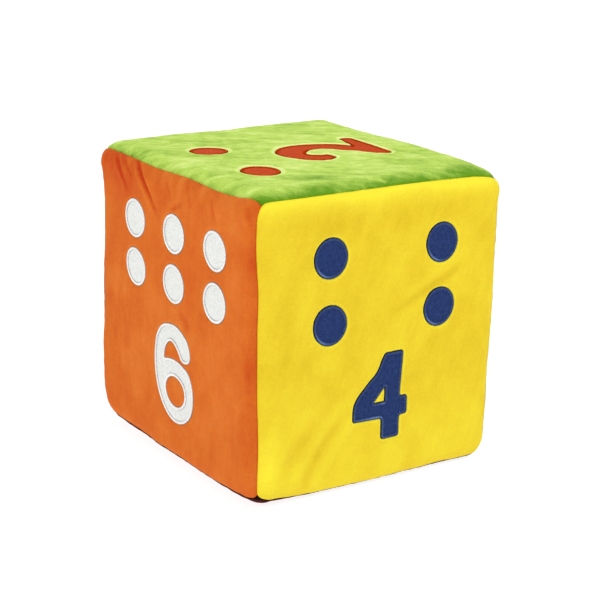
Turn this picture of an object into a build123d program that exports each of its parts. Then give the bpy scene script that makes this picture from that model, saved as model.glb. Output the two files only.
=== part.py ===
"""Giant soft yard die: a foam cube in a sewn plush cover, with appliqued dots and numerals.

Frame: +Z up, origin at the centre of the resting face. The four faces front (-Y), the six
faces left (-X) and the two faces up (+Z). Opposite faces add up to seven. Lengths are in mm.
"""

import math
import os

from build123d import *

os.makedirs("parts", exist_ok=True)

# ---- the cube ----
side = 300
edge_radius = 25
half = side / 2
edge_centre = half - edge_radius  # where each rounded edge has its centre line

# ---- the cover ----
plush_thickness = 3.0  # knitted ground and its short pile
allowance_thickness = 1.0  # a turned-in seam allowance, its pile pressed flat
allowance_width = 9.0
wedge_depth = 45.0  # deeper than any part of a panel

# ---- the markings ----
dot_diameter = 39.0
corner_radius = 3.0  # of the numerals' corners
border_width = 3.5  # satin stitch over the raw edge of a patch
border_thickness = 0.8
patch_thickness = 0.8
patch_inset = 1.5  # how far a patch's raw edge lies inside its border's outer edge
backing_thickness = 0.5
backing_size = (220, 240)
backing_corner = 12

# ---- the sewing ----
thread_radius = 0.4
closing_thread_radius = 0.6  # doubled, for the seam that is closed by hand
thread_play = 0.1  # room round each thread
thread_depth = plush_thickness + 0.7  # the stitch line, just behind the fold
corner_gap = math.radians(5)  # each seam thread stops short of the corner

# Each face is a plane on the outside of the cube, seen upright from outside. The two reads with
# its top towards the six.
face_planes = {
    "four": Plane((0, -half, half), x_dir=(1, 0, 0), z_dir=(0, -1, 0)),
    "six": Plane((-half, 0, half), x_dir=(0, -1, 0), z_dir=(-1, 0, 0)),
    "two": Plane((0, 0, side), x_dir=(0, 1, 0), z_dir=(0, 0, 1)),
    "three": Plane((0, half, half), x_dir=(-1, 0, 0), z_dir=(0, 1, 0)),
    "one": Plane((half, 0, half), x_dir=(0, 1, 0), z_dir=(1, 0, 0)),
    "five": Plane((0, 0, 0), x_dir=(0, 1, 0), z_dir=(0, 0, -1)),
}


# ---- dots, as centres on each face: across, up ----
def dot_grid(columns, rows):
    """Dot centres where the columns and rows cross, row by row."""
    return [(column, row) for row in rows for column in columns]


dot_centres = {
    "one": [(0, 55)],
    "two": [(-60, 83.5), (38, 79)],
    "three": [(-62, 84), (0, 53), (62, 22)],
    "four": dot_grid((-65, 67), (85, 21.5)),
    "five": dot_grid((-64, 64), (88, 20)) + [(0, 54)],
    "six": dot_grid((-63, 9.5, 81.5), (86, 37)),
}


# ---- numerals, each drawn on its face: across, up ----
def smooth_arcs(*points):
    """A curve of arcs through the points without kinks, with two arcs from each to the next."""
    spots = [Vector(*point) for point in points]
    headings = [(after - before).normalized() for before, after in zip(spots, spots[2:])]
    first_chord = (spots[1] - spots[0]).normalized()
    last_chord = (spots[-1] - spots[-2]).normalized()
    headings.insert(0, first_chord * (2 * first_chord.dot(headings[0])) - headings[0])
    headings.append(last_chord * (2 * last_chord.dot(headings[-1])) - headings[-1])
    for index in range(len(spots) - 1):
        start, end = spots[index], spots[index + 1]
        leaving, arriving = headings[index], headings[index + 1]
        chord = end - start
        along = chord.dot(leaving + arriving)
        spread = 2 * (1 - leaving.dot(arriving))
        reach = (math.sqrt(along**2 + spread * chord.dot(chord)) - along) / spread
        middle = (start + end + (leaving - arriving) * reach) * 0.5
        arc = TangentArc(start, middle, tangent=leaving)
        TangentArc(middle, end, tangent=arc % 1)


def numeral_one():
    with BuildSketch() as numeral:
        with BuildLine():
            FilletPolyline(
                (14, -14), (14, -102), (-9, -102), (-9, -44), (-22, -50), (-24, -33), (-3, -14),
                radius=corner_radius,
                close=True,
            )
        make_face()
    return numeral.sketch


def numeral_two():
    with BuildSketch() as numeral:
        with BuildLine():
            smooth_arcs(
                (-28, -18), (-35, -21), (-42, -20), (-49.5, -3), (-40, 17), (-14, 29.5),
                (12, 14), (21, -17), (12, -45), (-7, -64),
            )
            ThreePointArc((-7, -64), (-7.5, -65.7), (-6, -66.5))
            Line((-6, -66.5), (24, -73))
            smooth_arcs((24, -73), (28, -81), (24, -89))
            Line((24, -89), (-44, -87))
            smooth_arcs(
                (-44, -87), (-50.5, -79), (-46, -66), (-24, -46), (-8, -31), (-6, -16),
                (-14, -3), (-24, -2), (-28, -18),
            )
        make_face()
    return numeral.sketch


def numeral_three():
    with BuildSketch() as numeral:
        with BuildLine():
            smooth_arcs((-33, -84), (-24, -98), (0, -103.5), (26, -94), (33, -76), (26, -61), (16, -55.5))
            smooth_arcs((16, -55.5), (26, -47), (29, -33), (19, -18), (-2, -12.5), (-23, -19), (-30, -34))
            Line((-30, -34), (-14, -40))
            smooth_arcs((-14, -40), (-8, -31.5), (1, -29), (10, -33), (10, -43), (-4, -48.5))
            Line((-4, -48.5), (-4, -63))
            smooth_arcs((-4, -63), (11, -66), (15, -76), (9, -84), (-2, -86.5), (-12, -83.5), (-17, -77))
            Line((-17, -77), (-33, -84))
        make_face()
    return numeral.sketch


def numeral_four():
    with BuildSketch() as numeral:
        with BuildLine():
            FilletPolyline(
                (4, -14.5), (24, -14.5), (21.5, -60.5), (31, -61), (31, -80), (21.5, -80),
                (21.5, -101.5), (-1, -101.5), (-1, -80), (-33, -79.2),
                radius=corner_radius,
            )
            smooth_arcs(
                (-33, -79.2), (-36, -76), (-33.5, -58.5), (-20, -43.5), (-8, -32.5), (0, -17), (4, -14.5)
            )
        make_face()
        with BuildLine():
            Polyline((2.5, -49), (2.5, -63), (-10.5, -63), (2.5, -49))
        make_face(mode=Mode.SUBTRACT)
    return numeral.sketch


def numeral_five():
    with BuildSketch() as numeral:
        with BuildLine():
            FilletPolyline(
                (-9, -47), (-6, -31), (28, -31), (28, -14), (-22, -14), (-28, -61), (-13, -65),
                radius=corner_radius,
            )
            smooth_arcs(
                (-13, -65), (0, -59.5), (12, -64), (16, -75), (11, -84), (0, -87.5), (-11, -85), (-17, -78)
            )
            Line((-17, -78), (-33, -84))
            smooth_arcs(
                (-33, -84), (-23, -98), (0, -104), (25, -96), (35, -74), (25, -53), (5, -44.5), (-9, -47)
            )
        make_face()
    return numeral.sketch


def numeral_six():
    with BuildSketch() as numeral:
        with BuildLine():
            smooth_arcs(
                (22, -36.5), (29, -38), (37, -34), (38.5, -24), (31, -11.5), (8, -3.5), (-18, -13),
                (-29, -45), (-24, -78), (-6, -99.5), (15, -103.5), (36, -91), (42.5, -68), (36, -48),
                (22, -40.5), (8, -38.5), (-7.5, -41),
            )
            ThreePointArc((-7.5, -41), (-9.2, -40.8), (-9.3, -39))
            smooth_arcs((-9.3, -39), (-4.5, -27), (4, -21.8), (12.5, -25.5), (20, -34.5))
            ThreePointArc((20, -34.5), (20.8, -35.7), (22, -36.5))
        make_face()
        with BuildLine():
            smooth_arcs((9.5, -56.5), (21.5, -60.9), (26.5, -71.5), (21.5, -82.1), (9.5, -86.5))
            smooth_arcs((9.5, -86.5), (-2.5, -82.1), (-7.5, -71.5), (-2.5, -60.9), (9.5, -56.5))
        make_face(mode=Mode.SUBTRACT)
    return numeral.sketch


numerals = {
    "one": numeral_one(),
    "two": numeral_two(),
    "three": numeral_three(),
    "four": numeral_four(),
    "five": numeral_five(),
    "six": numeral_six(),
}


def shrunk(outline, distance):
    """An outline drawn in by a distance all round."""
    with BuildSketch() as smaller:
        add(outline)
        offset(amount=-distance, mode=Mode.REPLACE)
    return smaller.sketch


def dots(centres, radius):
    """A disc at each dot centre."""
    with BuildSketch() as discs:
        with Locations(*centres):
            Circle(radius)
    return discs.sketch


# ---- the cover's layers ----
def rounded_cube(inset):
    """The cube a given distance inside the cover's surface."""
    size = side - 2 * inset
    with BuildPart(Plane.XY.offset(inset)) as cube:
        Box(size, size, size, align=(Align.CENTER, Align.CENTER, Align.MIN))
        fillet(cube.edges(), edge_radius - inset)
    return cube.part


def layer(top, bottom):
    """A hollow rounded cube between two depths."""
    with BuildPart() as hollow:
        add(rounded_cube(top))
        add(rounded_cube(bottom), mode=Mode.SUBTRACT)
    return hollow.part


def face_wedge(face, inset=0.0):
    """The block behind a face, inside the four 45-degree planes through its edges."""
    width = 2 * (half - wedge_depth - inset * math.sqrt(2))
    with BuildPart() as wedge:
        with BuildSketch(face.offset(-wedge_depth)):
            Rectangle(width, width)
        extrude(amount=wedge_depth + 1, taper=-45)
    return wedge.part


def seam_allowances(face):
    """The four strips turned in along the 45-degree planes, back to back with the next panel's."""
    with BuildPart() as strips:
        add(face_wedge(face))
        add(face_wedge(face, allowance_thickness), mode=Mode.SUBTRACT)
        add(allowance_layer, mode=Mode.INTERSECT)
    return strips.part


plush_layer = layer(0, plush_thickness)
allowance_layer = layer(plush_thickness, plush_thickness + allowance_width)

# ---- seam threads ----
bend_radius = edge_radius - thread_depth
corner_turn = math.degrees(math.acos(math.sqrt(2 / 3)) - corner_gap)


def seam_plane(first, second):
    """The plane of the seam between two faces: x along the edge, y straight out through it."""
    out = face_planes[first].z_dir + face_planes[second].z_dir
    along = face_planes[first].z_dir.cross(face_planes[second].z_dir)
    return Plane(Vector(0, 0, half) + out * edge_centre, x_dir=along, z_dir=along.cross(out))


def seam_tube(plane, radius):
    """A thread along one edge, curving with the cover towards the corner at each end."""
    with BuildPart() as tube:
        with BuildLine(plane) as path:
            CenterArc((-edge_centre, 0), bend_radius, 90 + corner_turn, -corner_turn)
            Line((-edge_centre, bend_radius), (edge_centre, bend_radius))
            CenterArc((edge_centre, 0), bend_radius, 90, -corner_turn)
        with BuildSketch(Plane(path.line @ 0, z_dir=path.line % 0)):
            Circle(radius)
        sweep(path=path.wire())
    return tube.part


seams = {
    "top_seam_threads": [("two", name) for name in ("four", "one", "three", "six")],
    "upright_seam_threads": [("four", "one"), ("one", "three"), ("three", "six"), ("six", "four")],
    "bottom_seam_threads": [("five", name) for name in ("four", "one", "six")],
}
closing_seam = ("five", "three")

channels = {}  # the room for each thread, by the two faces that it joins
for name, pairs in seams.items():
    with BuildPart() as threads:
        for pair in pairs:
            add(seam_tube(seam_plane(*pair), thread_radius))
            channels[pair] = seam_tube(seam_plane(*pair), thread_radius + thread_play)
    threads.part.label = name
    export_step(threads.part, f"parts/{name}.step")

channels[closing_seam] = seam_tube(seam_plane(*closing_seam), closing_thread_radius + thread_play)
with BuildPart() as closing_thread:
    add(seam_tube(seam_plane(*closing_seam), closing_thread_radius))
closing_thread.part.label = "closing_thread"
export_step(closing_thread.part, "parts/closing_thread.step")

# ---- for each face, one panel with its markings and its backing ----
dot_radius = dot_diameter / 2
patch_bottom = border_thickness + patch_thickness
backings = []
for name, face in face_planes.items():
    numeral = numerals[name]
    numeral_patch_outline = shrunk(numeral, patch_inset)

    with BuildPart() as panel:
        add(face_wedge(face))
        add(plush_layer, mode=Mode.INTERSECT)
        add(seam_allowances(face))
        with BuildSketch(face):
            add(numeral)
            add(dots(dot_centres[name], dot_radius))
        extrude(amount=-border_thickness, mode=Mode.SUBTRACT)
        with BuildSketch(face):
            add(numeral_patch_outline)
            add(dots(dot_centres[name], dot_radius - patch_inset))
        extrude(amount=-patch_bottom, mode=Mode.SUBTRACT)
        for pair, channel in channels.items():
            if name in pair:
                add(channel, mode=Mode.SUBTRACT)
    panel.part.label = f"panel_{name}"
    export_step(panel.part, f"parts/panel_{name}.step")

    with BuildPart() as numeral_patch:
        with BuildSketch(face.offset(-border_thickness)):
            add(numeral_patch_outline)
        extrude(amount=-patch_thickness)
    numeral_patch.part.label = f"numeral_patch_{name}"
    export_step(numeral_patch.part, f"parts/numeral_patch_{name}.step")

    with BuildPart() as numeral_border:
        with BuildSketch(face):
            add(numeral)
            add(shrunk(numeral, border_width), mode=Mode.SUBTRACT)
        extrude(amount=-border_thickness)
    numeral_border.part.label = f"numeral_border_{name}"
    export_step(numeral_border.part, f"parts/numeral_border_{name}.step")

    for number, centre in enumerate(dot_centres[name], start=1):
        with BuildPart() as dot_patch:
            with BuildSketch(face.offset(-border_thickness)):
                add(dots([centre], dot_radius - patch_inset))
            extrude(amount=-patch_thickness)
        dot_patch.part.label = f"dot_patch_{name}_{number}"
        export_step(dot_patch.part, f"parts/dot_patch_{name}_{number}.step")

    with BuildPart() as dot_borders:
        with BuildSketch(face):
            add(dots(dot_centres[name], dot_radius))
            add(dots(dot_centres[name], dot_radius - border_width), mode=Mode.SUBTRACT)
        extrude(amount=-border_thickness)
    dot_borders.part.label = f"dot_borders_{name}"
    export_step(dot_borders.part, f"parts/dot_borders_{name}.step")

    with BuildPart() as backing:
        with BuildSketch(face.offset(-plush_thickness)):
            RectangleRounded(*backing_size, backing_corner)
        extrude(amount=-backing_thickness)
    backing.part.label = f"backing_{name}"
    export_step(backing.part, f"parts/backing_{name}.step")
    backings.append(backing.part)

# ---- the foam, pressed round the seam allowances and the backings ----
with BuildPart() as foam_core:
    for face in face_planes.values():
        add(face_wedge(face, allowance_thickness))
    add(rounded_cube(plush_thickness), mode=Mode.INTERSECT)
    add(rounded_cube(plush_thickness + allowance_width))
    for sheet in backings:
        add(sheet, mode=Mode.SUBTRACT)
foam_core.part.label = "foam_core"
export_step(foam_core.part, "parts/foam_core.step")
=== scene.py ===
"""Looks of a giant soft yard die: six plush panels sewn over a foam cube, with satin-edged marks.

The skin is laid out flat on a rounded cube, in millimetres from the cube's centre, and one
deformation field carries every piece, from the foam core to the satin stitching, to its sagged place.
"""

import math

import bpy
import numpy as np
from mathutils import Matrix, Vector
from mathutils.geometry import delaunay_2d_cdt


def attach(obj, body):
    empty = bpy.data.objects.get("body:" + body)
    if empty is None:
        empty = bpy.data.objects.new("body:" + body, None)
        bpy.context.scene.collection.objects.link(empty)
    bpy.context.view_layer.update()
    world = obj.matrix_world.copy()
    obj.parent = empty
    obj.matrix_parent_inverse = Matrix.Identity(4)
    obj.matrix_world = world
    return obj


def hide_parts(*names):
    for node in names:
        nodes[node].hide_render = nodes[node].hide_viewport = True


MM = 0.001

# The rounded cube that the skin covers.
half = 150.0
edge_radius = 25.0
flat_half = half - edge_radius
seam_arc = flat_half + edge_radius * math.pi / 4

# Plush panel.
plush_thickness = 3.0
allowance_thickness = 1.0
allowance_depth = 12.0
lip_radius = 1.1
panel_corner = 7.0
seam_gap = 0.04

# Sewn marks, as depths below the top of the pile.
border_width = 3.5
border_crown = 0.1
border_foot = 0.9
border_base = 1.75
patch_depth = 1.0
patch_dome = 0.45
patch_base = 1.8
pocket_depth = 2.1
pocket_lip = 0.35

# Where a pocket's wall starts and ends, from the outline inwards, and how far its lip is felt.
pocket_wall = (-1.6, 1.0)
pocket_margin = 8.0

# Where the rings of mesh points run across a border, as shares of its width.
satin_rings = (0.07, 0.22, 0.5, 0.78, 0.93, 1.0)

# Hidden parts.
backing_depth = (3.05, 3.45)
core_depth = 3.6
core_slot_depth = 13.5
core_slot_half = 1.25
core_lines = 73

# Each face's name, the direction of u across it and its outward direction.
FACES = {
    "four": ((1, 0, 0), (0, -1, 0)),
    "six": ((0, -1, 0), (-1, 0, 0)),
    "two": ((0, 1, 0), (0, 0, 1)),
    "three": ((-1, 0, 0), (0, 1, 0)),
    "one": ((0, 1, 0), (1, 0, 0)),
    "five": ((0, 1, 0), (0, 0, -1)),
}


def axes(face):
    """The face's u, v and outward directions as the rows of a matrix."""
    u, n = (np.array(x, float) for x in FACES[face])
    return np.array([u, np.cross(n, u), n])


# ---------------------------------------------------------------- noise


class Noise:
    """Smooth, repeatable noise from -1 to 1 on a lattice of random values."""

    def __init__(self, seed, size=32):
        self.size = size
        self.table = np.random.default_rng(seed).uniform(-1, 1, (size, size, size))

    def __call__(self, points, wavelength):
        p = np.asarray(points, float) / wavelength
        cell = np.floor(p).astype(int)
        f = p - cell
        f = f * f * f * (f * (f * 6 - 15) + 10)
        total = np.zeros(len(p))
        for corner in np.ndindex(2, 2, 2):
            weight = np.ones(len(p))
            for k in range(3):
                weight = weight * (f[:, k] if corner[k] else 1 - f[:, k])
            i = (cell + corner) % self.size
            total += weight * self.table[i[:, 0], i[:, 1], i[:, 2]]
        return total


lumps = Noise(11)
ripples = Noise(23)
grain = Noise(37)


def step(x, low, high):
    """0 below low, 1 above high, smooth between."""
    t = np.clip((x - low) / (high - low), 0, 1)
    return t * t * (3 - 2 * t)


# ---------------------------------------------------------------- the shape the die has sagged to

panel_crown = 1.2
lump_size = 75.0
lump_height = 1.0
ripple_size = 30.0
ripple_height = 0.35

# Dents and swellings: centre, from the cube's centre, half-widths along x, y and z, and height.
SWELLS = (
    ((-150, 150, 85), (40, 40, 42), -3.6),
    ((-150, 150, 38), (30, 30, 24), -1.5),
    ((-150, 150, -80), (40, 40, 38), 2.0),
    ((-150, 150, -112), (30, 30, 20), 1.4),
    ((-150, 150, 134), (20, 20, 14), 3.0),
    ((-136, 142, 160), (24, 20, 14), -1.6),
    ((150, 50, 150), (24, 60, 20), -1.4),
    ((150, -120, 156), (24, 24, 14), -1.8),
    ((-150, 145, -150), (34, 40, 28), -3.6),
    ((150, -150, 85), (30, 30, 50), 1.6),
    ((150, -150, -50), (30, 30, 60), -1.2),
    ((150, -150, -125), (26, 26, 26), -2.4),
    ((140, -140, 158), (24, 24, 16), -3.8),
    ((150, -150, 127), (16, 16, 11), 1.8),
    ((-146, -146, -150), (34, 34, 24), -3.8),
    ((40, -150, 150), (90, 20, 20), 0.8),
    ((-150, 5, -150), (20, 40, 20), 1.3),
    ((-150, -70, -146), (20, 36, 22), 1.9),
    ((-150, 76, -150), (20, 28, 20), -1.0),
    ((-150, -80, 150), (20, 30, 20), -1.6),
    ((-150, 35, 150), (20, 30, 20), -1.2),
    ((-150, -134, 138), (16, 16, 16), 1.6),
)

# Where a seam has crept round its edge: face it left, face it moved to, centre, half-length, distance.
# A creep of more than about 11 mm would fold the panel over itself.
CREEPS = (
    ("two", "six", (-150, -78, 150), 34, 2.2),
    ("two", "six", (-150, 35, 150), 34, 1.6),
    ("two", "six", (-150, -142, 150), 16, -6.5),
    ("two", "six", (-150, 120, 150), 20, -0.8),
    ("two", "four", (40, -150, 150), 70, -1.0),
    ("two", "four", (140, -150, 150), 20, 4.2),
    ("six", "four", (-150, -150, 104), 26, -1.8),
    ("six", "four", (-150, -150, 56), 20, 1.0),
    ("six", "four", (-150, -150, -85), 36, 1.6),
    ("three", "six", (-150, 150, -5), 62, 11.0),
    ("four", "one", (139, -139, 139), 17, 6.0),
    ("two", "one", (139, -139, 139), 17, 6.0),
    ("six", "four", (-140, -140, 141), 7, 3.2),
)

# Folds: face, start, end, sideways bow, half-width, depth.
FOLDS = (
    ("six", (-106, 140), (-76, 110), 2, 2.4, 1.9),
    ("six", (-88, 139), (-62, 121), 1, 2.0, 0.9),
    ("six", (-66, 144), (-18, 96), 1, 2.7, 2.7),
    ("six", (-6, 136), (6, 116), 1, 2.6, 0.7),
    ("six", (32, 138), (42, 114), 2, 3.0, 0.6),
    ("six", (76, 134), (87, 110), -1, 2.8, 0.9),
    ("six", (132, 138), (142, 116), 1, 2.8, 0.7),
    ("six", (26, 118), (-2, 100), -2, 2.6, 0.9),
    ("six", (18, 12), (42, -6), 2, 5.0, 0.8),
    ("four", (-96, -136), (-34, -58), 5, 6.5, 1.2),
    ("four", (-120, -118), (-62, -56), 4, 7.0, 0.5),
    ("four", (98, 63), (-4, 20), 2, 5.0, 1.0),
)

# Beside its groove each fold has two low ridges: how far out, in half-widths, how high and how strong the
# painted highlight on them is.
ridge_offset = 1.9
ridge_height = 0.3
ridge_painted_highlight = 0.35

# How much painted shade darkens the pile in a groove, for each millimetre of its depth.
fold_shade = 0.17

# Small gathers where the orange cloth was eased into the top seam, with painted shade in their hollows and
# painted highlights on their crests.
gathered_face = "six"
gather_spacing = 10.0
gather_reach = 17.0
gather_height = 0.3
gather_shade = 0.2

# How far the bottom seams are rolled under at the front, the sides and the front left corner, as a
# factor on the skin's downward slope: more than 1 rolls a seam under, less than 1 lifts it.
front_slide = 1.4
side_slide = 0.8
corner_slide = 0.84
corner_spread = 42.0

# Small bumps along the bottom edges, and how far the resting face stays pulled in.
bottom_bump_spacing = 21.0
bottom_bump_height = 0.9
bottom_hollow = 0.2


def folds_on(face, u, v):
    """The height of a face's folds and gathers, and how much painted shade darkens the pile at each point,
    less where painted highlights lighten it.
    """
    height, painted_fold_shade = np.zeros(u.shape), np.zeros(u.shape)
    for name, start, end, bow, width, depth in FOLDS:
        if name != face:
            continue
        a, b = np.array(start, float), np.array(end, float)
        length = np.linalg.norm(b - a)
        along = (b - a) / length
        t = ((u - a[0]) * along[0] + (v - a[1]) * along[1]) / length
        side = (v - a[1]) * along[0] - (u - a[0]) * along[1]
        side = side - bow * 4 * np.clip(t, 0, 1) * (1 - np.clip(t, 0, 1))
        fade = step(t, -0.15, 0.2) * (1 - step(t, 0.5, 1.1))
        low = np.exp(-((side / width) ** 2)) * fade
        ridges = np.exp(-(((np.abs(side) - ridge_offset * width) / width) ** 2)) * fade
        height += depth * (ridge_height * ridges - low)
        # Painted shade in the groove, and a painted highlight on its ridges.
        painted_fold_shade += fold_shade * depth * (low - ridge_painted_highlight * ridges)
    if face == gathered_face:
        along_seam = np.stack([u, 0.3 * v, np.zeros(u.shape)], axis=1)
        pull = np.exp(-(((half - v) / gather_reach) ** 2)) * ripples(along_seam, gather_spacing)
        height += gather_height * pull
        # Painted shade in the gathers' hollows and painted highlights on their crests.
        painted_fold_shade -= gather_shade * pull
    return height, painted_fold_shade


def height_at(surface, direction):
    """How far the sagged skin stands out from the rounded cube, at points of its surface."""
    height = lump_height * lumps(surface, lump_size)
    height += ripple_height * ripples(surface, ripple_size)
    for face in FACES:
        uvn = surface @ axes(face).T
        share = np.clip(direction @ axes(face)[2], 0, 1) ** 2
        u, v = uvn[:, 0], uvn[:, 1]
        crown = panel_crown * np.clip(1 - (u / half) ** 2, 0, 1) * np.clip(1 - (v / half) ** 2, 0, 1)
        height += share * (crown + folds_on(face, u, v)[0])
    for centre, widths, amount in SWELLS:
        height += amount * np.exp(-((((surface - centre) / widths) ** 2).sum(1)))
    down = np.clip(-direction[:, 2], 0, 1) ** 2
    edge_share = 4 * down * (1 - down)
    height += bottom_bump_height * edge_share * ripples(surface + 700, bottom_bump_spacing)
    return height * (1 - down) + np.minimum(height, -bottom_hollow) * down


# The whole die is a little off a cube: narrower one way, wider the other, and leaning.
narrow_x = 0.9606
wide_y = 1.0197
taper = 0.0078
lean_x = 2.75
lean_y = -1.25


def sag(points):
    """Points laid out around the rounded cube, in millimetres from its centre, at their sagged place."""
    points = np.asarray(points, float)
    inner = np.clip(points, -flat_half, flat_half)
    out = points - inner
    reach = np.linalg.norm(out, axis=1)[:, None]
    direction = out / np.maximum(reach, 1e-9)
    surface = inner + edge_radius * direction
    height = height_at(surface, direction)
    slid = direction.copy()
    corner = np.exp(-((surface[:, :2] + half) ** 2).sum(1) / corner_spread**2)
    sideways = direction[:, 0] ** 2 / np.maximum((direction[:, :2] ** 2).sum(1), 1e-9)
    under = front_slide + (side_slide - front_slide) * sideways
    under += (corner_slide - under) * corner
    slid[:, 2] *= np.where(direction[:, 2] < 0, under, 1.0)
    for left, entered, centre, reach_along, distance in CREEPS:
        n_left, n_entered = axes(left)[2], axes(entered)[2]
        a, b = direction @ n_left, direction @ n_entered
        window = np.clip(2 * a * b, 0, 1) * np.exp(-((surface - centre) ** 2).sum(1) / reach_along**2)
        window *= (a > 0) & (b > 0)
        slid += (distance / edge_radius * window)[:, None] * (n_entered * a[:, None] - n_left * b[:, None])
    slid /= np.maximum(np.linalg.norm(slid, axis=1)[:, None], 1e-9)
    moved = inner + slid * (reach + height[:, None])
    low = (half - moved[:, 2]) / (2 * half)
    x = moved[:, 0] * narrow_x * (1 - taper * low) + lean_x * low
    y = moved[:, 1] * wide_y * (1 - taper * low) + lean_y * low
    return np.stack([x, y, moved[:, 2] + half], axis=1)


def skin(face, s, t, depth):
    """Points at arc lengths s and t from a face's centre and a depth below its surface, laid out."""
    bend_s = np.tan(np.clip(np.abs(s) - flat_half, 0, None) / edge_radius) * np.sign(s)
    bend_t = np.tan(np.clip(np.abs(t) - flat_half, 0, None) / edge_radius) * np.sign(t)
    out = np.stack([bend_s, bend_t, np.ones_like(bend_s)], axis=-1)
    out /= np.linalg.norm(out, axis=-1)[..., None]
    base = np.stack([np.clip(s, -flat_half, flat_half), np.clip(t, -flat_half, flat_half)], axis=-1)
    base = np.concatenate([base, np.full(base.shape[:-1] + (1,), flat_half)], axis=-1)
    local = base + out * (edge_radius - np.asarray(depth, float))[..., None]
    return local @ axes(face)


# ---------------------------------------------------------------- meshes


def mesh_object(name, points, faces, attributes=None, sharp=None):
    """A mesh object at the origin, with its points in millimetres and float attributes by name."""
    mesh = bpy.data.meshes.new(name)
    mesh.from_pydata((np.asarray(points) * MM).tolist(), [], [list(map(int, f)) for f in faces])
    for key, values in (attributes or {}).items():
        values = np.asarray(values, np.float32)
        kind, field = ("FLOAT_VECTOR", "vector") if values.ndim == 2 else ("FLOAT", "value")
        mesh.attributes.new(key, kind, "POINT").data.foreach_set(field, values.ravel())
    mesh.validate()
    mesh.update()
    mesh.shade_smooth()
    if sharp:
        mesh.set_sharp_from_angle(angle=math.radians(sharp))
    obj = bpy.data.objects.new(name, mesh)
    bpy.context.scene.collection.objects.link(obj)
    return obj


def grid_faces(count, start=0):
    i = np.arange(count - 1)
    a = (start + i[:, None] * count + i[None, :]).ravel()
    return np.stack([a, a + count, a + count + 1, a + 1], axis=1)


def rim_indices(count):
    """The indices of a square grid's outline, in order round it."""
    n = count - 1
    first = [(0, j) for j in range(n)]
    second = [(i, n) for i in range(n)]
    third = [(n, j) for j in range(n, 0, -1)]
    fourth = [(i, 0) for i in range(n, 0, -1)]
    return np.array([i * count + j for i, j in first + second + third + fourth])


def band_faces(a, b):
    """Quads between two closed loops of indices of the same length."""
    return np.stack([a, np.roll(a, -1), np.roll(b, -1), b], axis=1)


def spread(count, lip_steps):
    """Positions from -1 to 1 in units of the seam arc, closer together at both ends."""
    ends = seam_arc - np.array(lip_steps, float)
    middle = np.linspace(-ends[0], ends[0], count)
    return np.concatenate([-ends[:0:-1], middle, ends[1:]]) / seam_arc


# ---------------------------------------------------------------- outlines from the CAD nodes


def outer_loops(node, face):
    """The closed outlines, in (u, v) millimetres, of a node's outermost flat face."""
    mesh = node.data
    points = np.array([v.co for v in mesh.vertices]) / MM - (0, 0, half)
    uvn = points @ axes(face).T
    top = uvn[:, 2] > uvn[:, 2].max() - 0.05
    keys, same = np.unique(np.round(uvn[:, :2], 3), axis=0, return_inverse=True)
    same = same.ravel()
    seen = {}
    for polygon in mesh.polygons:
        corners = list(polygon.vertices)
        if not all(top[c] for c in corners):
            continue
        for a, b in zip(corners, corners[1:] + corners[:1]):
            seen[(same[a], same[b])] = True
    following = {a: b for a, b in seen if (b, a) not in seen}
    loops = []
    while following:
        start, at = following.popitem()
        loop = [start]
        while at != start:
            loop.append(at)
            at = following.pop(at)
        loops.append(keys[loop])
    return loops


def subdivided(loop, step_length):
    """The loop with its long sides divided into steps no longer than step_length."""
    points = []
    for a, b in zip(loop, np.roll(loop, -1, axis=0)):
        n = max(1, math.ceil(np.linalg.norm(b - a) / step_length))
        points.extend(a + (b - a) * k / n for k in range(n))
    return np.array(points)


def measure(points, loops):
    """Signed distance to the loops, more than 0 inside, and the arc length where each is nearest."""
    a = np.concatenate(loops)
    side = np.concatenate([np.roll(x, -1, axis=0) for x in loops]) - a
    length = np.hypot(side[:, 0], side[:, 1])
    starts = np.concatenate([[0], np.cumsum(length)[:-1]])
    ax, ay, sx, sy = (x.astype(np.float32) for x in (a[:, 0], a[:, 1], side[:, 0], side[:, 1]))
    scale = (1 / np.maximum(length**2, 1e-9)).astype(np.float32)
    slope = sx / np.where(sy == 0, np.float32(1e-9), sy)
    distance, arc = np.empty(len(points)), np.empty(len(points))
    chunk = 1500
    for low in range(0, len(points), chunk):
        p = np.asarray(points[low : low + chunk], np.float32)
        rx, ry = p[:, :1] - ax, p[:, 1:] - ay
        t = np.clip((rx * sx + ry * sy) * scale, 0, 1)
        gap = (rx - t * sx) ** 2 + (ry - t * sy) ** 2
        k = gap.argmin(1)
        rows = np.arange(len(k))
        crossing = ((ry < 0) != (ry < sy)) & (rx < ry * slope)
        inside = np.count_nonzero(crossing, axis=1) % 2 == 1
        distance[low : low + chunk] = np.where(inside, 1, -1) * np.sqrt(gap[rows, k])
        arc[low : low + chunk] = starts[k] + t[rows, k] * length[k]
    return distance, arc


def triangulate(fixed_loops, loose):
    """A triangle mesh through closed loops, kept as edges, and loose points: points and triangles."""
    points = np.concatenate(fixed_loops + [loose])
    edges, start = [], 0
    for loop in fixed_loops:
        n = len(loop)
        edges.extend((start + i, start + (i + 1) % n) for i in range(n))
        start += n
    result = delaunay_2d_cdt([Vector(p) for p in points], edges, [], 0, 1e-5)
    return np.array([tuple(p) for p in result[0]]), np.array([list(f) for f in result[2]])


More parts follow.
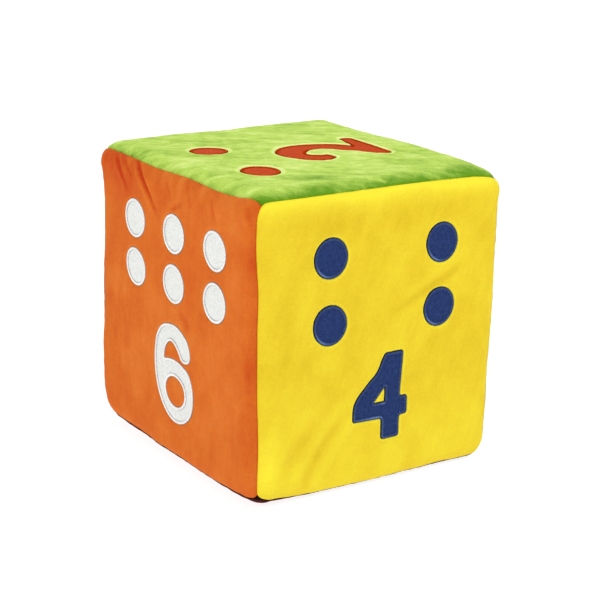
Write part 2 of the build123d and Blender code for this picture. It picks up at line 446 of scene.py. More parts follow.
def inward_points(loop, offset, inside_sign, angle_step=0.2):
    """Points at one distance from a loop, on its inner side, with fans round the corners."""
    ahead = np.roll(loop, -1, axis=0) - loop
    ahead /= np.linalg.norm(ahead, axis=1)[:, None]
    normal = np.stack([-ahead[:, 1], ahead[:, 0]], axis=1) * inside_sign
    before = np.roll(normal, 1, axis=0)
    points = [loop + (np.roll(loop, -1, axis=0) - loop) / 2 + offset * normal]
    turn = np.arctan2(before[:, 0] * normal[:, 1] - before[:, 1] * normal[:, 0], (before * normal).sum(1))
    for p, n, angle in zip(loop, before, turn):
        steps = max(1, int(abs(angle) / angle_step))
        for k in range(steps):
            a = angle * (k + 0.5) / steps
            turned = (n[0] * math.cos(a) - n[1] * math.sin(a), n[0] * math.sin(a) + n[1] * math.cos(a))
            points.append(np.array([p + offset * np.array(turned)]))
    return np.concatenate(points)


def slab(name, face, plane, triangles, top, base, attributes=None, sharp=50):
    """A closed thin solid on a face: triangles in (u, v), with a top and a base depth at each point."""
    n = len(plane)
    points = np.concatenate([skin(face, plane[:, 0], plane[:, 1], d) for d in (top, base)])
    a, b, c = plane[triangles[:, 0]], plane[triangles[:, 1]], plane[triangles[:, 2]]
    area = (b[:, 0] - a[:, 0]) * (c[:, 1] - a[:, 1]) - (b[:, 1] - a[:, 1]) * (c[:, 0] - a[:, 0])
    triangles = np.where(area[:, None] > 0, triangles, triangles[:, ::-1])
    faces = triangles.tolist() + (triangles[:, ::-1] + n).tolist()
    seen = {(t[i], t[(i + 1) % 3]) for t in triangles.tolist() for i in range(3)}
    faces += [[b, a, a + n, b + n] for a, b in seen if (b, a) not in seen]
    used = np.unique(np.concatenate([triangles.ravel(), triangles.ravel() + n]))
    place = np.zeros(2 * n, int)
    place[used] = np.arange(len(used))
    faces = [[place[i] for i in f] for f in faces]
    attributes = {k: np.concatenate([v, v])[used] for k, v in (attributes or {}).items()}
    attributes["panel"] = np.concatenate([np.c_[plane, -top], np.c_[plane, -base]])[used]
    return mesh_object(name, sag(points[used]), faces, attributes, sharp)


def tube(path, radius, sides=7):
    """Points and faces of a closed-ended tube along a path."""
    path = np.asarray(path, float)
    ahead = np.gradient(path, axis=0)
    ahead /= np.linalg.norm(ahead, axis=1)[:, None]
    guide = path / np.linalg.norm(path, axis=1)[:, None]
    side = np.cross(ahead, guide)
    side /= np.linalg.norm(side, axis=1)[:, None]
    other = np.cross(ahead, side)
    turn = np.linspace(0, 2 * math.pi, sides, endpoint=False)
    ring = np.cos(turn)[None, :, None] * side[:, None, :] + np.sin(turn)[None, :, None] * other[:, None, :]
    points = (path[:, None, :] + radius * ring).reshape(-1, 3)
    faces = []
    for i in range(len(path) - 1):
        low = i * sides
        for k in range(sides):
            faces.append([low + k, low + (k + 1) % sides, low + sides + (k + 1) % sides, low + sides + k])
    faces.append(list(range(sides))[::-1])
    faces.append([len(points) - sides + k for k in range(sides)])
    return points, faces


# ---------------------------------------------------------------- materials


def linear(r, g, b):
    """A colour given as 0 to 255 display values, in linear light with alpha."""
    parts = [x / 255 for x in (r, g, b)]
    return tuple(x / 12.92 if x <= 0.04045 else ((x + 0.055) / 1.055) ** 2.4 for x in parts) + (1.0,)


class Finish:
    """A node material under construction."""

    def __init__(self, name):
        self.material = bpy.data.materials.new(name)
        self.material.use_nodes = True
        self.nodes = self.material.node_tree.nodes
        self.links = self.material.node_tree.links
        self.shader = self.nodes["Principled BSDF"]

    def put(self, socket, value):
        if isinstance(value, bpy.types.NodeSocket):
            self.links.new(value, socket)
        else:
            socket.default_value = value

    def add(self, kind, inputs=None, **settings):
        node = self.nodes.new(kind)
        for key, value in settings.items():
            setattr(node, key, value)
        for key, value in (inputs or {}).items():
            self.put(node.inputs[key], value)
        return node

    def math(self, operation, a, b=0.0):
        return self.add("ShaderNodeMath", {0: a, 1: b}, operation=operation).outputs[0]

    def attribute(self, name, output="Fac"):
        return self.add("ShaderNodeAttribute", attribute_name=name).outputs[output]

    def noise(self, vector, scale, detail=3.0, roughness=0.5, distortion=0.0):
        inputs = {"Vector": vector, "Scale": scale, "Detail": detail, "Roughness": roughness}
        inputs["Distortion"] = distortion
        return self.add("ShaderNodeTexNoise", inputs).outputs["Fac"]

    def stretched(self, vector, angle, scale):
        inputs = {"Vector": vector, "Rotation": (0, 0, math.radians(angle)), "Scale": scale}
        return self.add("ShaderNodeMapping", inputs, vector_type="TEXTURE").outputs["Vector"]

    def ramp(self, value, stops):
        node = self.add("ShaderNodeValToRGB", {"Fac": value})
        elements = node.color_ramp.elements
        while len(elements) < len(stops):
            elements.new(0.5)
        for element, (position, colour) in zip(elements, stops):
            element.position = position
            element.color = colour
        return node.outputs["Color"]

    def bump(self, height, strength, distance, normal=None):
        inputs = {"Height": height, "Strength": strength, "Distance": distance}
        if normal is not None:
            inputs["Normal"] = normal
        return self.add("ShaderNodeBump", inputs).outputs["Normal"]

    def finish(self, colour, normal, roughness, **constants):
        self.put(self.shader.inputs["Base Color"], colour)
        self.put(self.shader.inputs["Normal"], normal)
        self.put(self.shader.inputs["Roughness"], roughness)
        for key, value in constants.items():
            self.shader.inputs[key.replace("_", " ")].default_value = value
        return self.material


def plush(name, dark, mid, light, streak_angle, streak):
    """Short-pile plush: brushed streaks, soft mottling, small tufts and fine fibres."""
    f = Finish(name)
    place = f.attribute("panel", "Vector")
    wide = f.stretched(place, streak_angle, (80.0, 22.0, 40.0))
    broad = f.noise(wide, scale=1.0, detail=4.0, roughness=0.62, distortion=0.3)
    narrow = f.stretched(place, streak_angle + 8, (32.0, 5.0, 20.0))
    brushed = f.noise(narrow, scale=1.0, detail=3.0, roughness=0.62, distortion=0.2)
    mottle = f.noise(place, scale=0.07, detail=3.0, roughness=0.6, distortion=0.4)
    tufts = f.noise(place, scale=0.42, detail=2.0, roughness=0.6)
    fibres = f.noise(place, scale=1.7, detail=2.0, roughness=0.7)
    # This attribute holds the pile's tone together with painted shade and painted highlights.
    value = f.attribute("nap_and_painted_light")
    layers = (
        (broad, streak * 1.5),
        (brushed, streak * 0.6),
        (mottle, streak * 1.1),
        (tufts, 0.26),
        (fibres, 0.34),
    )
    for layer, amount in layers:
        lifted = f.math("MULTIPLY", f.math("SUBTRACT", layer, 0.5), amount)
        value = f.math("ADD", value, lifted)
    colour = f.ramp(value, ((0.08, dark), (0.5, mid), (0.92, light)))
    normal = f.bump(tufts, strength=0.5, distance=0.0009)
    normal = f.bump(fibres, strength=0.6, distance=0.0005, normal=normal)
    roughness = f.math("ADD", f.math("MULTIPLY", fibres, 0.2), 0.78)
    sheen = {"Sheen_Weight": 0.3, "Sheen_Roughness": 0.5, "Sheen_Tint": light}
    return f.finish(colour, normal, roughness, **sheen, Specular_IOR_Level=0.1)


def felt(name, dark, mid, light):
    """The smooth knitted cloth inside a mark: fine ribs with a slight soft shine."""
    f = Finish(name)
    place = f.attribute("panel", "Vector")
    inputs = {"Vector": place, "Scale": 0.32, "Distortion": 1.2, "Detail": 2.0}
    knit = f.add("ShaderNodeTexWave", inputs, bands_direction="Y")
    fibres = f.noise(place, scale=1.1, detail=3.0, roughness=0.7)
    cloud = f.noise(place, scale=0.3, detail=2.0)
    value = f.math("ADD", f.math("MULTIPLY", fibres, 0.7), f.math("MULTIPLY", cloud, 0.3))
    colour = f.ramp(value, ((0.3, dark), (0.5, mid), (0.72, light)))
    normal = f.bump(knit.outputs["Fac"], strength=0.25, distance=0.0002)
    normal = f.bump(fibres, strength=0.5, distance=0.0004, normal=normal)
    roughness = f.math("ADD", f.math("MULTIPLY", fibres, 0.25), 0.55)
    return f.finish(colour, normal, roughness, Specular_IOR_Level=0.04)


def satin(name, outer, dark, mid, light, outline, crease, shine):
    """Close-laid satin stitches across a mark's border, with a painted shadow at its outer side, painted
    shade in its inner crease and a painted glint.
    """
    f = Finish(name)
    place = f.attribute("panel", "Vector")
    arc = f.attribute("stitch")
    # Painted shadow along the border's outer side, as strong as outline.
    edge = f.math("ADD", f.math("MULTIPLY", f.attribute("across"), outline), 1.0 - outline)
    inputs = {"W": f.math("MULTIPLY", arc, 2.3), "Detail": 1.0, "Scale": 1.0}
    threads = f.add("ShaderNodeTexNoise", inputs, noise_dimensions="1D")
    wander = f.noise(place, scale=0.9, detail=2.0, roughness=0.6)
    lines = f.math("MULTIPLY", threads.outputs["Fac"], 0.75)
    value = f.math("ADD", lines, f.math("MULTIPLY", wander, 0.25))
    # Painted shade in the crease beside the cloth.
    inner = f.math("MULTIPLY", f.attribute("inner"), crease)
    shade = f.math("SUBTRACT", f.math("MULTIPLY", value, edge), inner)
    # outer is the painted shadow colour and light the painted glint colour.
    colour = f.ramp(shade, ((0.06, outer), (0.26, dark), (0.5, mid), (0.95, light)))
    normal = f.bump(value, strength=0.6, distance=0.0005)
    roughness = f.math("ADD", f.math("MULTIPLY", wander, 0.2), 0.34)
    return f.finish(colour, normal, roughness, Specular_IOR_Level=shine)


def plain_fibre(name, dark, light, grain_scale, depth, roughness):
    """Foam, backing or thread: a fine even grain in two tones."""
    f = Finish(name)
    place = f.add("ShaderNodeTexCoord").outputs["Object"]
    cells = f.add("ShaderNodeTexVoronoi", {"Vector": place, "Scale": grain_scale}).outputs["Distance"]
    cloud = f.noise(place, scale=grain_scale * 0.25, detail=3.0, roughness=0.6)
    value = f.math("ADD", f.math("MULTIPLY", cells, 0.5), f.math("MULTIPLY", cloud, 0.6))
    colour = f.ramp(value, ((0.2, dark), (0.7, light)))
    normal = f.bump(cells, strength=0.5, distance=depth)
    rough = f.math("ADD", f.math("MULTIPLY", cloud, 0.1), roughness)
    return f.finish(colour, normal, rough)


# ---------------------------------------------------------------- start

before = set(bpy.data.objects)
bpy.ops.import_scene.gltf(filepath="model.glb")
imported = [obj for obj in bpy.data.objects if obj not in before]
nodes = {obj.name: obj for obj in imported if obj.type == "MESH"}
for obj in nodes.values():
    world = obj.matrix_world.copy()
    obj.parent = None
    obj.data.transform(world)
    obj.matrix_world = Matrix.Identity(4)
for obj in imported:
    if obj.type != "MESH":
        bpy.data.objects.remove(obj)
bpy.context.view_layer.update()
slots = {o.name: o.data.materials[0].name.split(".")[0] for o in nodes.values()}

# Each plush's dark, middle and light tones, the angle of its streaks and how strong they are.
PLUSH = {
    "yellow_plush": (linear(214, 176, 20), linear(238, 208, 46), linear(254, 236, 58), 62, 0.2),
    "orange_plush": (linear(200, 62, 19), linear(220, 110, 36), linear(235, 142, 62), 82, 0.24),
    "green_plush": (linear(96, 152, 22), linear(183, 216, 87), linear(228, 244, 150), 56, 0.62),
    "blue_plush": (linear(16, 30, 66), linear(32, 54, 104), linear(62, 88, 140), 70, 0.3),
    "purple_plush": (linear(74, 34, 98), linear(104, 54, 134), linear(140, 88, 166), 75, 0.3),
    # The red's near-black dark tone is there for the painted shadow along the bottom panel's edges.
    "red_plush": (linear(24, 4, 2), linear(168, 26, 28), linear(204, 62, 56), 15, 0.3),
}
# The dark, middle and light tones of the cloth inside the marks.
MARKS = {
    "blue": (linear(22, 36, 78), linear(39, 57, 106), linear(54, 76, 130)),
    "white": (linear(204, 206, 203), linear(233, 235, 231), linear(247, 248, 246)),
    "red": (linear(150, 34, 2), linear(196, 64, 4), linear(216, 90, 22)),
    "yellow": (linear(206, 164, 30), linear(236, 202, 58), linear(250, 228, 110)),
}
# The stitching round the marks: the painted shadow colour of its outer side, its hollows and painted
# crease shade, its body and its painted glint, how strong the painted shadow on its outer side and the
# painted shade in the crease beside the cloth are, and how shiny it is.
RINGS = {
    "blue": (
        linear(2, 5, 18),
        linear(18, 30, 70),
        linear(39, 58, 108),
        linear(116, 150, 208),
        0.95,
        0.06,
        0.1,
    ),
    "white": (
        linear(92, 76, 64),
        linear(168, 170, 172),
        linear(254, 254, 251),
        linear(255, 255, 255),
        0.65,
        0.26,
        0.2,
    ),
    "red": (
        linear(50, 8, 0),
        linear(110, 24, 2),
        linear(176, 52, 4),
        linear(214, 92, 36),
        0.9,
        0.0,
        0.0,
    ),
    "yellow": (
        linear(120, 84, 16),
        linear(206, 164, 30),
        linear(238, 206, 62),
        linear(252, 232, 120),
        0.6,
        0.1,
        0.2,
    ),
}
finishes = {}
for key, (dark, mid, light, angle, streak) in PLUSH.items():
    finishes[key] = plush(key, dark, mid, light, angle, streak)
for key, (dark, mid, light) in MARKS.items():
    finishes[key + "_patch"] = felt(key + "_patch", dark, mid, light)
    finishes[key + "_stitching"] = satin(key + "_stitching", *RINGS[key])
# The dark and light tones of the hidden materials, their grain, its depth and their roughness.
HIDDEN = {
    "backing": (linear(214, 212, 204), linear(240, 239, 234), 900, 0.0001, 0.8),
    "seam_thread": (linear(206, 204, 196), linear(238, 236, 228), 1400, 0.0001, 0.5),
    "foam": (linear(222, 206, 150), linear(246, 236, 190), 420, 0.0006, 0.9),
}
for key, fibre in HIDDEN.items():
    finishes[key] = plain_fibre(key, *fibre)


def complete(obj, *node_names):
    """Gives a piece the finish of the nodes that it stands for, and its place in the frame."""
    obj.data.materials.append(finishes[slots[node_names[0]]])
    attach(obj, "root")
    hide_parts(*node_names)
    return obj


# ---------------------------------------------------------------- marks: outlines, then pieces

# A ring whose box is this close round a patch's box belongs to that patch.
ring_margin = 3.0

marks = {face: [] for face in FACES}
for face in FACES:
    patches = sorted(n for n in nodes if n.startswith((f"dot_patch_{face}_", f"numeral_patch_{face}")))
    rings = outer_loops(nodes[f"dot_borders_{face}"], face)
    rings += outer_loops(nodes[f"numeral_border_{face}"], face)
    for patch in patches:
        inner = outer_loops(nodes[patch], face)
        low = np.concatenate(inner).min(0) - ring_margin
        high = np.concatenate(inner).max(0) + ring_margin
        near = [r for r in rings if (r.min(0) > low).all() and (r.max(0) < high).all()]
        outline = [r for r in near if measure(r[:1], inner)[0][0] < 0]
        marks[face].append({"node": patch, "patch": inner, "outline": outline})


# How strong the painted highlight on the pile round the marks is, and how far out it reaches, on most
# faces and where it differs.
usual_rim_highlight = (0.4, 0.9)
PILE_RIM_HIGHLIGHTS = {"six": (0.1, 1.2), "two": (0.5, 1.8)}

# Fine unevenness of the pile: wavelength, shift in the noise, height.
PILE_GRAIN = ((7.0, 0, 0.22), (3.2, 50, 0.14))


def pile_depth(face, s, t):
    """Depth of the pile's top below the skin, with lips at the seams and pockets under the marks, and how
    near each point is to a mark's outline, from 0 to 1, which sets the painted highlight round the marks."""
    depth = np.zeros(s.shape)
    for arc in (s, t):
        near = np.clip(lip_radius - (seam_arc - np.abs(arc)), 0, lip_radius)
        depth = np.maximum(depth, lip_radius - np.sqrt(np.clip(lip_radius**2 - near**2, 0, None)))
    from_corner = [np.clip(np.abs(arc) - (seam_arc - panel_corner), 0, None) for arc in (s, t)]
    past = np.hypot(*from_corner) - panel_corner
    depth = np.maximum(depth, lip_radius * step(past, -1.5 * lip_radius, 0)) + np.clip(past, 0, None)
    flat = np.stack([s.ravel(), t.ravel()], axis=1)
    flat_depth = depth.ravel()
    rim_highlight = np.zeros(len(flat))
    rim_width = PILE_RIM_HIGHLIGHTS.get(face, usual_rim_highlight)[1]
    for mark in marks[face]:
        low = np.concatenate(mark["outline"]).min(0) - pocket_margin
        high = np.concatenate(mark["outline"]).max(0) + pocket_margin
        near = np.flatnonzero(((flat > low) & (flat < high)).all(1))
        inside, _ = measure(flat[near], mark["outline"])
        sunk = pocket_depth * step(inside, *pocket_wall)
        swell = pocket_lip * np.exp(-(((inside + 3.0) / 1.6) ** 2))
        flat_depth[near] += sunk - swell
        # A painted highlight on the pile just outside each mark.
        lit = np.exp(-(((np.minimum(inside + rim_width, 0)) / rim_width) ** 2)) * (inside < 0.5)
        rim_highlight[near] = np.maximum(rim_highlight[near], lit)
    place = skin(face, s.ravel(), t.ravel(), np.zeros(len(flat)))
    for wavelength, shift, amount in PILE_GRAIN:
        flat_depth += amount * grain(place + shift, wavelength)
    return flat_depth.reshape(s.shape), rim_highlight.reshape(s.shape)


# Where the pile's tone is set darker or lighter, partly in patches of random tone and partly as painted
# shade and painted highlights along rounded edges and seams, with a painted shadow along the bottom
# panel's edges: face, centre, half-widths, amount. A half-width of 500 reaches right across the face.
PILE_TONES_AND_PAINTED_LIGHT = (
    # Painted shade along the orange's rounded front edge.
    ("six", (152, 0), (24, 500), -0.15),
    ("six", (-82, 126), (60, 28), -0.26),
    # Painted shade along the green's seam with the yellow.
    ("two", (-152, 0), (17, 500), -0.58),
    ("two", (-104, 44), (20, 30), -0.16),
    ("two", (-134, -112), (16, 34), -0.14),
    # Painted shade along the green's seam with the orange.
    ("two", (0, 152), (500, 12), -0.20),
    ("two", (72, 116), (40, 34), -0.10),
    ("two", (-112, -81), (30, 40), -0.08),
    ("two", (-20, -10), (70, 110), 0.08),
    # Painted highlight along the yellow's rounded top edge, painted shade just below it, a painted
    # highlight beside its front edge low down, and painted light over its lower part.
    ("four", (0, 150), (500, 15), 0.72),
    ("four", (0, 116), (500, 14), -0.10),
    ("four", (-134, -108), (14, 40), 0.22),
    ("four", (0, -130), (500, 60), 0.10),
    # Painted shadow: the bottom panel near black along all its edges.
    ("five", (152, 0), (14, 500), -1.0),
    ("five", (-152, 0), (14, 500), -1.0),
    ("five", (0, 152), (500, 14), -1.0),
    ("five", (0, -152), (500, 14), -1.0),
)

# Broad patches where the pile lies a little differently.
nap_swing = 0.10
nap_size = 26.0


def nap_and_painted_light_on(face, s, t, rim_highlight):
    """Which way the pile lies, with the painted shade and painted highlights of folds, gathers, edges and
    marks added, as 0 dark to 1 light.
    """
    nap_and_painted_light = 0.5 + nap_swing * lumps(skin(face, s, t, np.zeros(s.shape)) + 300, nap_size)
    # Painted highlight round the marks, and painted shade and highlights of the folds and gathers.
    nap_and_painted_light += PILE_RIM_HIGHLIGHTS.get(face, usual_rim_highlight)[0] * rim_highlight - folds_on(face, s, t)[1]
    for name, centre, widths, amount in PILE_TONES_AND_PAINTED_LIGHT:
        if name == face:
            away = ((s - centre[0]) / widths[0]) ** 2 + ((t - centre[1]) / widths[1]) ** 2
            nap_and_painted_light += amount * np.exp(-away)
    return nap_and_painted_light


# The panels' mesh lines are closer together over the last millimetres before a seam.
panel_lines = spread(170, (2.6, 1.9, 1.35, 0.9, 0.55, 0.25, seam_gap))
hidden_nap = 0.3


def panel(face):
    """One plush panel: its pile, its edges turned in along the seams, and its knitted back."""
    n = len(panel_lines)
    s, t = np.meshgrid(panel_lines * seam_arc, panel_lines * seam_arc, indexing="ij")
    depth, rim_highlight = pile_depth(face, s, t)
    edge = rim_indices(n)
    layers = [skin(face, s, t, depth).reshape(-1, 3)]
    plane = [np.c_[s.ravel(), t.ravel(), -depth.ravel()]]
    naps = [nap_and_painted_light_on(face, s.ravel(), t.ravel(), rim_highlight.ravel())]
    faces = [grid_faces(n)]
    loop = edge
    loop_faces = []
    count = n * n
    inner_edge = allowance_thickness
    # The turned-in edge's outline: distance from the seam, depth below the skin.
    profile = [(seam_gap, lip_radius + 1.5), (seam_gap, 7.0), (seam_gap, allowance_depth)]
    profile += [(inner_edge, allowance_depth), (inner_edge, 7.0), (inner_edge, plush_thickness + 1.2)]
    profile += [(inner_edge + 0.35, plush_thickness + 0.4)]
    for gap, down in profile:
        share = 1 - gap * edge_radius / (edge_radius - down) / seam_arc
        rs, rt = s.ravel()[edge] * share, t.ravel()[edge] * share
        sunk = np.maximum(down, depth.ravel()[edge] + 0.5)
        layers.append(skin(face, rs, rt, sunk))
        plane.append(np.c_[rs, rt, -sunk])
        naps.append(np.full(len(edge), hidden_nap))
        new = count + np.arange(len(edge))
        loop_faces.append(band_faces(loop, new))
        loop = new
        count += len(edge)
    share = 1 - (inner_edge + 1.0) / seam_arc
    layers.append(skin(face, s * share, t * share, np.full(s.shape, plush_thickness)).reshape(-1, 3))
    plane.append(np.c_[(s * share).ravel(), (t * share).ravel(), np.full(n * n, -plush_thickness)])
    naps.append(np.full(n * n, hidden_nap))
    faces.append(grid_faces(n, count)[:, ::-1])
    loop_faces.append(band_faces(loop, count + edge))
    faces = np.concatenate(faces + loop_faces)
    attributes = {"nap_and_painted_light": np.concatenate(naps), "panel": np.concatenate(plane)}
    obj = mesh_object(f"plush_panel_{face}", sag(np.concatenate(layers)), faces, attributes)
    return complete(obj, f"panel_{face}")


def patch_piece(mark, face, spacing=2.0):
    """The cloth inside a mark, held down by the border and slightly domed between."""
    loops = [subdivided(x, 1.0) for x in mark["patch"]]
    low, high = np.concatenate(loops).min(0), np.concatenate(loops).max(0)
    us, vs = np.meshgrid(np.arange(low[0], high[0], spacing), np.arange(low[1], high[1], spacing * 0.87))
    us = us + np.where(np.arange(us.shape[0]) % 2, spacing / 2, 0)[:, None]
    loose = np.stack([us.ravel(), vs.ravel()], axis=1)
    loose = loose[measure(loose, loops)[0] > 0.6]
    plane, triangles = triangulate(loops, loose)
    triangles = triangles[measure(plane[triangles].mean(1), loops)[0] > 0]
    inside, _ = measure(plane, loops)
    top = patch_depth - patch_dome * step(inside, 1.0, 7.0)
    top = top + 0.05 * grain(np.c_[plane, np.zeros(len(plane))], 4.0)
    base = np.full(len(plane), patch_base)
    name = mark["node"].replace("_patch", "_cloth")
    return complete(slab(name, face, plane, triangles, top, base), mark["node"])


def border_mesh(mark, spacing=0.5):
    """A satin border in the plane: points, triangles, distance in from the outline and arc length."""
    loops = [subdivided(x, spacing) for x in mark["outline"]]
    loose = []
    for loop in loops:
        middle = loop[0] + (loop[1] - loop[0]) / 2
        left = np.array([-(loop[1] - loop[0])[1], (loop[1] - loop[0])[0]])
        probe = middle + 0.2 * left / np.linalg.norm(left)
        sign = 1 if measure(probe[None], loops)[0][0] > 0 else -1
        for offset in border_width * np.array(satin_rings):
            ring = inward_points(loop, offset, sign)
            loose.append(ring[measure(ring, loops)[0] > offset - 0.02])
    loose = np.concatenate(loose)
    _, keep = np.unique(np.round(loose / 0.12), axis=0, return_index=True)
    plane, triangles = triangulate(loops, loose[np.sort(keep)])
    inside, arc = measure(plane, loops)
    middle = measure(plane[triangles].mean(1), loops)[0]
    triangles = triangles[(middle > 0) & (middle < border_width)]
    return plane, triangles, np.clip(inside, 0, border_width), arc


# The side of each mark, in (u, v), on which a painted highlight is put on the satin.
painted_glint_side = np.array([-0.6, -0.8])


def border_parts(mark):
    """A satin border's mesh in the plane, its raised top, its painted shadow and painted glint, and its
    painted crease shade.
    """
    plane, triangles, inside, arc = border_mesh(mark)
    across = inside / border_width
    crown = np.sqrt(np.clip(1 - (2 * across - 1) ** 2, 0, 1))
    bundles = grain(np.c_[arc, np.zeros(len(arc)), np.zeros(len(arc))], 1.6)
    top = border_foot - (border_foot - border_crown) * crown * (1 + 0.1 * bundles)
    away = plane - np.concatenate(mark["outline"]).mean(0)
    facing = np.clip(away @ painted_glint_side / np.maximum(np.linalg.norm(away, axis=1), 1e-9), 0, 1)
    # A painted highlight on the satin on the glint side.
    painted_glint = facing**8 * np.exp(-(((across - 0.62) / 0.2) ** 2))
    # Painted shadow along the border's outer side, with the painted glint added.
    shade = step(across, 0.02, 0.25) + 0.85 * painted_glint
    return plane, triangles, top, arc, shade, step(across, 0.7, 1.0)


def border_piece(name, face, parts, node):
    """The borders of one node as one piece of stitching."""
    offset, planes, tris, tops, arcs, shades, creases = 0, [], [], [], [], [], []
    for plane, triangles, top, arc, shade, crease in parts:
        planes.append(plane)
        tris.append(triangles + offset)
        tops.append(top)
        arcs.append(arc)
        shades.append(shade)
        creases.append(crease)
        offset += len(plane)
    plane = np.concatenate(planes)
    attributes = {"stitch": np.concatenate(arcs), "across": np.concatenate(shades)}
    attributes["inner"] = np.concatenate(creases)
    base = np.full(len(plane), border_base)
    obj = slab(name, face, plane, np.concatenate(tris), np.concatenate(tops), base, attributes, 70)
    return complete(obj, node)


def backing_piece(face):
    """The stabiliser behind a panel."""
    loops = [subdivided(x, 4.0) for x in outer_loops(nodes[f"backing_{face}"], face)]
    low, high = np.concatenate(loops).min(0), np.concatenate(loops).max(0)
    us, vs = np.meshgrid(np.arange(low[0], high[0], 5.0), np.arange(low[1], high[1], 5.0))
    loose = np.stack([us.ravel(), vs.ravel()], axis=1)
    loose = loose[measure(loose, loops)[0] > 1.5]
    plane, triangles = triangulate(loops, loose)
    triangles = triangles[measure(plane[triangles].mean(1), loops)[0] > 0]
    top, base = (np.full(len(plane), d) for d in backing_depth)
    return complete(slab(f"backing_sheet_{face}", face, plane, triangles, top, base), f"backing_{face}")


def core_piece():
    """The foam cube, with a slot along each edge for the seam allowances."""
    lines = np.linspace(-1, 1, core_lines)
    n = len(lines)
    edge = rim_indices(n)
    layers, faces, count = [], [], 0
    for face in FACES:
        share = 1 - core_slot_half * edge_radius / (edge_radius - core_depth) / seam_arc
        s, t = np.meshgrid(lines * seam_arc, lines * seam_arc, indexing="ij")
        layers.append(skin(face, s * share, t * share, np.full(s.shape, core_depth)).reshape(-1, 3))
        faces.append(grid_faces(n, count))
        loop = count + edge
        count += n * n
        for gap, down in ((core_slot_half, 8.0), (core_slot_half, core_slot_depth), (0, core_slot_depth)):
            share = 1 - gap * edge_radius / (edge_radius - down) / seam_arc
            rs, rt = s.ravel()[edge] * share, t.ravel()[edge] * share
            layers.append(skin(face, rs, rt, np.full(len(edge), down)))
            new = count + np.arange(len(edge))
            faces.append(band_faces(loop, new))
            loop = new
            count += len(edge)
    points = np.concatenate(layers)
    _, first, same = np.unique(np.round(points, 3), axis=0, return_index=True, return_inverse=True)
    faces = same.ravel()[np.concatenate(faces)]
    faces = [f for f in faces.tolist() if len(set(f)) == 4]
    return complete(mesh_object("foam_cube", sag(points[first]), faces, None, 40), "foam_core")


def seam_path(face, side, s_values, depth):
    """Points along one seam of a face; side is the (s, t) direction of the seam from the centre."""
    across = np.full(s_values.shape, seam_arc)
    s = across * side[0] if side[0] else s_values
    t = across * side[1] if side[1] else s_values
    return skin(face, s, t, np.full(s_values.shape, depth))


# How far a seam's stitches reach on each side of the middle of its edge.
seam_reach = 142.0


def stitched_path(face, side, pitch, depth, swing, dip):
    """A sewing thread's path along a seam, passing from one side of it to the other at each stitch."""
    count = int(2 * seam_reach / pitch)
    corners = (0.0, 0.12, 0.42, 0.5, 0.62, 0.92)
    swings = (-1, -1, -1, 1, 1, 1)
    sinks = (0.0, 0.6, 0.6, 0.0, 0.6, 0.6)
    along = np.array([(k + c) * pitch for k in range(count) for c in corners]) - seam_reach
    base = seam_path(face, side, along, depth)
    below = seam_path(face, side, along, depth + 1.0) - base
    u, v, n = axes(face)
    outward = side[0] * u + side[1] * v
    across = (outward - n) / math.sqrt(2)
    turn = np.tile(swings, count)[:, None] * swing
    return base + across * turn + below * (np.tile(sinks, count)[:, None] * dip)


def thread_piece(name, node, seams, pitch, depth, swing, dip, radius):
    """The sewing threads of several seams as one piece."""
    points, faces, count = [], [], 0
    for face, side in seams:
        p, f = tube(stitched_path(face, side, pitch, depth, swing, dip), radius, 6)
        points.append(p)
        faces += [[i + count for i in x] for x in f]
        count += len(p)
    return complete(mesh_object(name, sag(np.concatenate(points)), faces, None, 60), node)


UP, DOWN, RIGHT = (0, 1), (0, -1), (1, 0)
SEAMS = {
    "top_seam_threads": [("four", UP), ("one", UP), ("three", UP), ("six", UP)],
    "upright_seam_threads": [("four", RIGHT), ("one", RIGHT), ("three", RIGHT), ("six", RIGHT)],
    "bottom_seam_threads": [("four", DOWN), ("one", DOWN), ("six", DOWN)],
}

# The stitch length, depth, swing to each side, sink between stitches and radius of the threads.
MACHINE_SEWN = (3.2, 4.4, 1.15, 0.5, 0.3)
HAND_SEWN = (7.0, 1.7, 1.3, 1.0, 0.45)

core = core_piece()
for face in FACES:
    cover = panel(face)
    backing = backing_piece(face)
    dots = []
    for mark in marks[face]:
        patch_piece(mark, face)
        if mark["node"].startswith("dot"):
            dots.append(border_parts(mark))
        else:
            border_piece(f"numeral_satin_{face}", face, [border_parts(mark)], f"numeral_border_{face}")
    border_piece(f"dot_satin_{face}", face, dots, f"dot_borders_{face}")
for node, seams in SEAMS.items():
    thread_piece(node.replace("threads", "stitches"), node, seams, *MACHINE_SEWN)
thread_piece("closing_stitches", "closing_thread", [("three", DOWN)], *HAND_SEWN)

# ---------------------------------------------------------------- floor, light and camera


floor_half = 40.0
floor_depth = 0.02
floor_dark = (0.29, 0.29, 0.29, 1)
floor_pale = (0.31, 0.31, 0.31, 1)
floor_glow = 0.88


def floor_piece():
    """A plain white sweep under and behind the die, which glows a little so that it stays white."""
    corners = [(x, y, z) for z in (-floor_depth, 0) for x, y in ((-1, -1), (1, -1), (1, 1), (-1, 1))]
    points = np.array([(x * floor_half, y * floor_half, z) for x, y, z in corners]) / MM
    faces = [(4, 5, 6, 7), (3, 2, 1, 0), (0, 1, 5, 4), (1, 2, 6, 5), (2, 3, 7, 6), (3, 0, 4, 7)]
    obj = mesh_object("studio_floor", points, faces, None, 30)
    f = Finish("studio_floor")
    place = f.add("ShaderNodeTexCoord").outputs["Object"]
    paper = f.noise(place, scale=40.0, detail=2.0)
    colour = f.ramp(paper, ((0.0, floor_dark), (1.0, floor_pale)))
    f.put(f.shader.inputs["Emission Color"], (1.0, 1.0, 1.0, 1.0))
    f.put(f.shader.inputs["Emission Strength"], floor_glow)
    normal = f.bump(paper, strength=0.05, distance=0.0002)
    obj.data.materials.append(f.finish(colour, normal, 0.9, Specular_IOR_Level=0.0))
    return obj


floor_piece()


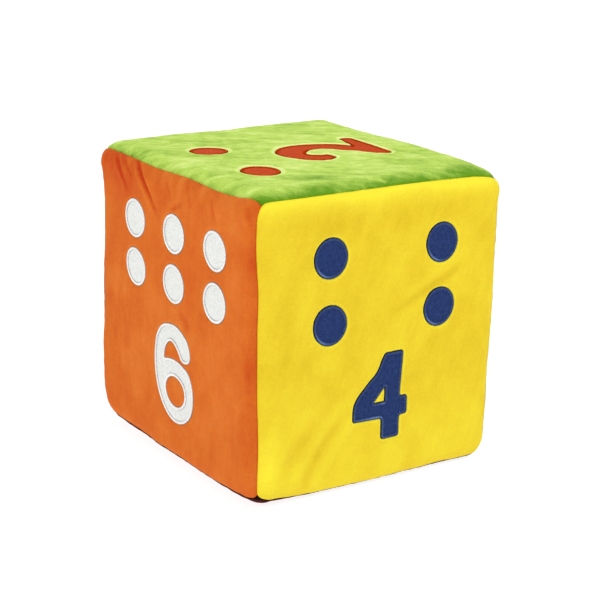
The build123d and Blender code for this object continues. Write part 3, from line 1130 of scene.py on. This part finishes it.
def area_light(name, place, target, size, power):
    """A round soft light that points at the target."""
    light = bpy.data.lights.new(name, "AREA")
    light.shape = "DISK"
    light.size = size
    light.energy = power
    obj = bpy.data.objects.new(name, light)
    obj.location = place
    obj.rotation_euler = (Vector(target) - Vector(place)).to_track_quat("-Z", "Y").to_euler()
    bpy.context.scene.collection.objects.link(obj)


area_light("key_light", (1.2, -1.7, 1.9), (0, 0, 0.12), size=1.0, power=25)
area_light("side_light", (-2.2, -0.7, 1.2), (0, 0, 0.12), size=1.2, power=17.5)
area_light("floor_light", (1.0, 3.4, 2.6), (0.6, 2.6, 0), size=2.0, power=60)
area_light("top_light", (-0.1, 0.4, 2.6), (0, 0, 0.2), size=1.4, power=12)

world_strength = 0.42
scene = bpy.context.scene
world = bpy.data.worlds.new("studio_world")
world.use_nodes = True
sky = world.node_tree.nodes["Background"]
sky.inputs["Color"].default_value = (1, 1, 1, 1)
sky.inputs["Strength"].default_value = world_strength
scene.world = world
scene.view_settings.view_transform = "Standard"
scene.view_settings.look = "None"

camera_azimuth = math.radians(-34.19)
camera_elevation = math.radians(16.38)
camera_roll = math.radians(1.42)
camera_distance = 1.673
camera_lens = 99.7
aim_right = 0.0081
aim_up = -0.0019


def make_camera():
    """The photograph's camera: an angle round the die, a little roll, and an aim just off its centre."""
    level = math.cos(camera_elevation)
    back_x = math.sin(camera_azimuth) * level
    back_y = -math.cos(camera_azimuth) * level
    back = Vector((back_x, back_y, math.sin(camera_elevation)))
    centre = Vector((0, 0, half * MM))
    place = centre + back * camera_distance
    right = (-back).cross(Vector((0, 0, 1))).normalized()
    up = right.cross(-back)
    target = centre + right * aim_right + up * aim_up
    ahead = (target - place).normalized()
    right = ahead.cross(Vector((0, 0, 1))).normalized()
    up = right.cross(ahead)
    c, s = math.cos(camera_roll), math.sin(camera_roll)
    rolled_right = right * c + up * s
    rolled_up = up * c - right * s
    data = bpy.data.cameras.new("camera")
    data.lens = camera_lens
    data.sensor_width = 36.0
    data.clip_start = 0.05
    obj = bpy.data.objects.new("camera", data)
    turn = Matrix((rolled_right, rolled_up, -ahead)).transposed()
    obj.matrix_world = Matrix.Translation(place) @ turn.to_4x4()
    bpy.context.scene.collection.objects.link(obj)
    return obj


scene.camera = make_camera()
